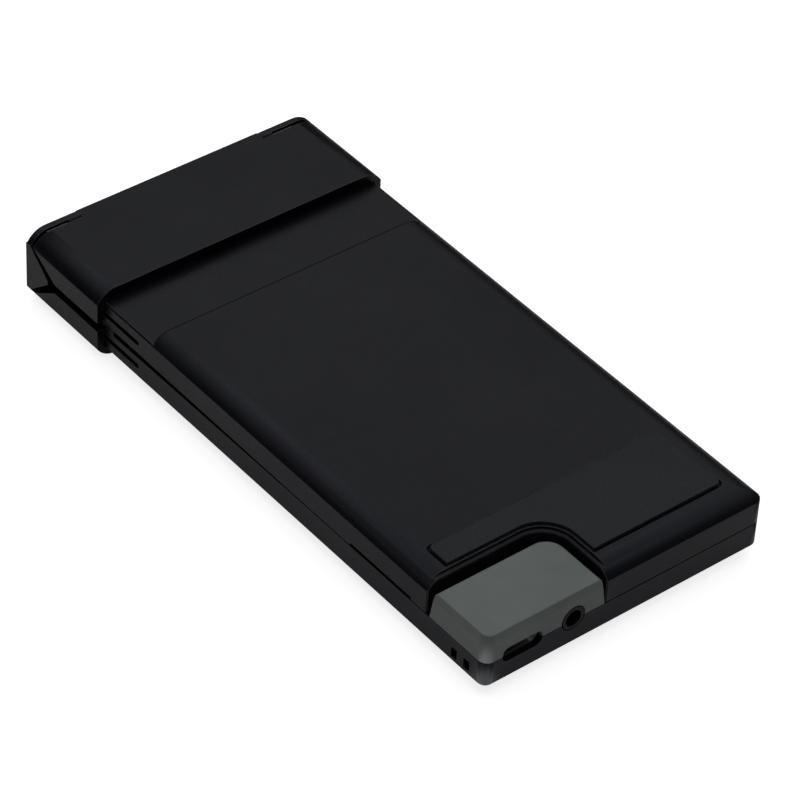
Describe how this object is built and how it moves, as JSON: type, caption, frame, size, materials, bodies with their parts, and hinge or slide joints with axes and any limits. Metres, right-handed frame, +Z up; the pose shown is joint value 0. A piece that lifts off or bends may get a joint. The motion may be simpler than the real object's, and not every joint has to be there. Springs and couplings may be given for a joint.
{
  "type": "foldable keyboard controller",
  "caption": "Slim music keyboard controller, folded shut: two key halves slide in hinged wings on a spine, with a connector pod in one corner.",
  "frame": {"origin": "centre of the closed object's underside, on the face it rests on", "axes": "+X towards the end with the connectors, away from the hinge spine; +Y towards the player's side of the keys; +Z up, from the lower half to the upper half"},
  "size_m": [0.142, 0.0702, 0.0164],
  "materials": {
    "shell_plastic": "fine satin grain",
    "pod_plastic": "satin",
    "pad_rubber": "fine grain",
    "panel_plastic": "satin",
    "key_white": "semi gloss",
    "key_black": "satin",
    "button_plastic": "satin",
    "socket_metal": "bright nickel",
    "socket_plastic": "satin",
    "board_laminate": "solder mask",
    "chassis_steel": "rolled sheet",
    "mat_silicone": "silicone",
    "screw_steel": "plated",
    "cable_film": "polyimide film"
  },
  "bodies": {
    "lower_half": {"lower_shell": "shell_plastic", "lower_foot_pad": "pad_rubber", "pod_cover": "pod_plastic", "usb_socket": "socket_metal", "usb_tongue": "socket_plastic", "jack_socket": "socket_plastic", "connector_board": "board_laminate", "lower_key_chassis": "chassis_steel", "lower_contact_mat": "mat_silicone", "lower_circuit_board": "board_laminate", "lower_screws": "screw_steel", "control_panel": "panel_plastic", "lower_flex_cable": "cable_film"},
    "lower_wing": {"lower_wing": "shell_plastic"},
    "spine": {"spine": "shell_plastic", "lower_hinge_pins": "screw_steel", "upper_hinge_pins": "screw_steel", "spine_flex_cable": "cable_film"},
    "upper_wing": {"upper_wing": "shell_plastic"},
    "upper_half": {"upper_shell": "shell_plastic", "upper_foot_pad": "pad_rubber", "upper_key_chassis": "chassis_steel", "upper_contact_mat": "mat_silicone", "upper_circuit_board": "board_laminate", "upper_screws": "screw_steel", "upper_flex_cable": "cable_film"},
    "key_b1": {"key_b1": "key_white"},
    "key_a1": {"key_a1": "key_white"},
    "key_g1": {"key_g1": "key_white"},
    "key_f1": {"key_f1": "key_white"},
    "key_e1": {"key_e1": "key_white"},
    "key_d1": {"key_d1": "key_white"},
    "key_c1": {"key_c1": "key_white"},
    "key_a_sharp1": {"key_a_sharp1": "key_black"},
    "key_g_sharp1": {"key_g_sharp1": "key_black"},
    "key_f_sharp1": {"key_f_sharp1": "key_black"},
    "key_d_sharp1": {"key_d_sharp1": "key_black"},
    "key_c_sharp1": {"key_c_sharp1": "key_black"},
    "key_c2": {"key_c2": "key_white"},
    "key_d2": {"key_d2": "key_white"},
    "key_e2": {"key_e2": "key_white"},
    "key_f2": {"key_f2": "key_white"},
    "key_g2": {"key_g2": "key_white"},
    "key_a2": {"key_a2": "key_white"},
    "key_b2": {"key_b2": "key_white"},
    "key_c3": {"key_c3": "key_white"},
    "key_c_sharp2": {"key_c_sharp2": "key_black"},
    "key_d_sharp2": {"key_d_sharp2": "key_black"},
    "key_f_sharp2": {"key_f_sharp2": "key_black"},
    "key_g_sharp2": {"key_g_sharp2": "key_black"},
    "key_a_sharp2": {"key_a_sharp2": "key_black"},
    "octave_down_button": {"octave_down_button": "button_plastic"},
    "octave_up_button": {"octave_up_button": "button_plastic"},
    "sustain_button": {"sustain_button": "button_plastic"},
    "shift_button": {"shift_button": "button_plastic"},
    "modulation_button": {"modulation_button": "button_plastic"},
    "pitch_bend_button": {"pitch_bend_button": "button_plastic"}
  },
  "joints": [
    {"name": "fold", "type": "hinge", "parent": "lower_wing", "child": "spine", "pos_m": [-0.0698, 0, 0.0012], "axis": [0, -1, 0], "range_deg": [0, 90]},
    {"name": "upper_fold", "type": "hinge", "parent": "spine", "child": "upper_wing", "pos_m": [-0.0698, 0, 0.0152], "axis": [0, -1, 0], "range_deg": [0, 90]},
    {"name": "lower_slide", "type": "slide", "parent": "lower_half", "child": "lower_wing", "axis": [1, 0, 0], "range_m": [0, 0.015]},
    {"name": "upper_slide", "type": "slide", "parent": "upper_wing", "child": "upper_half", "axis": [-1, 0, 0], "range_m": [0, 0.015]},
    {"name": "key_b1_press", "type": "slide", "parent": "lower_half", "child": "key_b1", "axis": [0, 0, -1], "range_m": [0, 0.0009], "stiffness_N_per_m": 300},
    {"name": "key_a1_press", "type": "slide", "parent": "lower_half", "child": "key_a1", "axis": [0, 0, -1], "range_m": [0, 0.0009], "stiffness_N_per_m": 300},
    {"name": "key_g1_press", "type": "slide", "parent": "lower_half", "child": "key_g1", "axis": [0, 0, -1], "range_m": [0, 0.0009], "stiffness_N_per_m": 300},
    {"name": "key_f1_press", "type": "slide", "parent": "lower_half", "child": "key_f1", "axis": [0, 0, -1], "range_m": [0, 0.0009], "stiffness_N_per_m": 300},
    {"name": "key_e1_press", "type": "slide", "parent": "lower_half", "child": "key_e1", "axis": [0, 0, -1], "range_m": [0, 0.0009], "stiffness_N_per_m": 300},
    {"name": "key_d1_press", "type": "slide", "parent": "lower_half", "child": "key_d1", "axis": [0, 0, -1], "range_m": [0, 0.0009], "stiffness_N_per_m": 300},
    {"name": "key_c1_press", "type": "slide", "parent": "lower_half", "child": "key_c1", "axis": [0, 0, -1], "range_m": [0, 0.0009], "stiffness_N_per_m": 300},
    {"name": "key_a_sharp1_press", "type": "slide", "parent": "lower_half", "child": "key_a_sharp1", "axis": [0, 0, -1], "range_m": [0, 0.0009], "stiffness_N_per_m": 300},
    {"name": "key_g_sharp1_press", "type": "slide", "parent": "lower_half", "child": "key_g_sharp1", "axis": [0, 0, -1], "range_m": [0, 0.0009], "stiffness_N_per_m": 300},
    {"name": "key_f_sharp1_press", "type": "slide", "parent": "lower_half", "child": "key_f_sharp1", "axis": [0, 0, -1], "range_m": [0, 0.0009], "stiffness_N_per_m": 300},
    {"name": "key_d_sharp1_press", "type": "slide", "parent": "lower_half", "child": "key_d_sharp1", "axis": [0, 0, -1], "range_m": [0, 0.0009], "stiffness_N_per_m": 300},
    {"name": "key_c_sharp1_press", "type": "slide", "parent": "lower_half", "child": "key_c_sharp1", "axis": [0, 0, -1], "range_m": [0, 0.0009], "stiffness_N_per_m": 300},
    {"name": "key_c2_press", "type": "slide", "parent": "upper_half", "child": "key_c2", "axis": [0, 0, 1], "range_m": [0, 0.0009], "stiffness_N_per_m": 300},
    {"name": "key_d2_press", "type": "slide", "parent": "upper_half", "child": "key_d2", "axis": [0, 0, 1], "range_m": [0, 0.0009], "stiffness_N_per_m": 300},
    {"name": "key_e2_press", "type": "slide", "parent": "upper_half", "child": "key_e2", "axis": [0, 0, 1], "range_m": [0, 0.0009], "stiffness_N_per_m": 300},
    {"name": "key_f2_press", "type": "slide", "parent": "upper_half", "child": "key_f2", "axis": [0, 0, 1], "range_m": [0, 0.0009], "stiffness_N_per_m": 300},
    {"name": "key_g2_press", "type": "slide", "parent": "upper_half", "child": "key_g2", "axis": [0, 0, 1], "range_m": [0, 0.0009], "stiffness_N_per_m": 300},
    {"name": "key_a2_press", "type": "slide", "parent": "upper_half", "child": "key_a2", "axis": [0, 0, 1], "range_m": [0, 0.0009], "stiffness_N_per_m": 300},
    {"name": "key_b2_press", "type": "slide", "parent": "upper_half", "child": "key_b2", "axis": [0, 0, 1], "range_m": [0, 0.0009], "stiffness_N_per_m": 300},
    {"name": "key_c3_press", "type": "slide", "parent": "upper_half", "child": "key_c3", "axis": [0, 0, 1], "range_m": [0, 0.0009], "stiffness_N_per_m": 300},
    {"name": "key_c_sharp2_press", "type": "slide", "parent": "upper_half", "child": "key_c_sharp2", "axis": [0, 0, 1], "range_m": [0, 0.0009], "stiffness_N_per_m": 300},
    {"name": "key_d_sharp2_press", "type": "slide", "parent": "upper_half", "child": "key_d_sharp2", "axis": [0, 0, 1], "range_m": [0, 0.0009], "stiffness_N_per_m": 300},
    {"name": "key_f_sharp2_press", "type": "slide", "parent": "upper_half", "child": "key_f_sharp2", "axis": [0, 0, 1], "range_m": [0, 0.0009], "stiffness_N_per_m": 300},
    {"name": "key_g_sharp2_press", "type": "slide", "parent": "upper_half", "child": "key_g_sharp2", "axis": [0, 0, 1], "range_m": [0, 0.0009], "stiffness_N_per_m": 300},
    {"name": "key_a_sharp2_press", "type": "slide", "parent": "upper_half", "child": "key_a_sharp2", "axis": [0, 0, 1], "range_m": [0, 0.0009], "stiffness_N_per_m": 300},
    {"name": "octave_down_button_press", "type": "slide", "parent": "lower_half", "child": "octave_down_button", "axis": [0, 0, -1], "range_m": [0, 0.0009], "stiffness_N_per_m": 60},
    {"name": "octave_up_button_press", "type": "slide", "parent": "lower_half", "child": "octave_up_button", "axis": [0, 0, -1], "range_m": [0, 0.0009], "stiffness_N_per_m": 60},
    {"name": "sustain_button_press", "type": "slide", "parent": "lower_half", "child": "sustain_button", "axis": [0, 0, -1], "range_m": [0, 0.0009], "stiffness_N_per_m": 60},
    {"name": "shift_button_press", "type": "slide", "parent": "lower_half", "child": "shift_button", "axis": [0, 0, -1], "range_m": [0, 0.0009], "stiffness_N_per_m": 60},
    {"name": "modulation_button_press", "type": "slide", "parent": "lower_half", "child": "modulation_button", "axis": [0, 0, -1], "range_m": [0, 0.0009], "stiffness_N_per_m": 60},
    {"name": "pitch_bend_button_press", "type": "slide", "parent": "lower_half", "child": "pitch_bend_button", "axis": [0, 0, -1], "range_m": [0, 0.0009], "stiffness_N_per_m": 60}
  ],
  "couplings": [
    {"joint": "fold", "follows": "lower_slide", "rad_per_m": 104.72},
    {"joint": "upper_fold", "follows": "lower_slide", "rad_per_m": 104.72},
    {"joint": "upper_slide", "follows": "lower_slide", "ratio": 1}
  ]
}
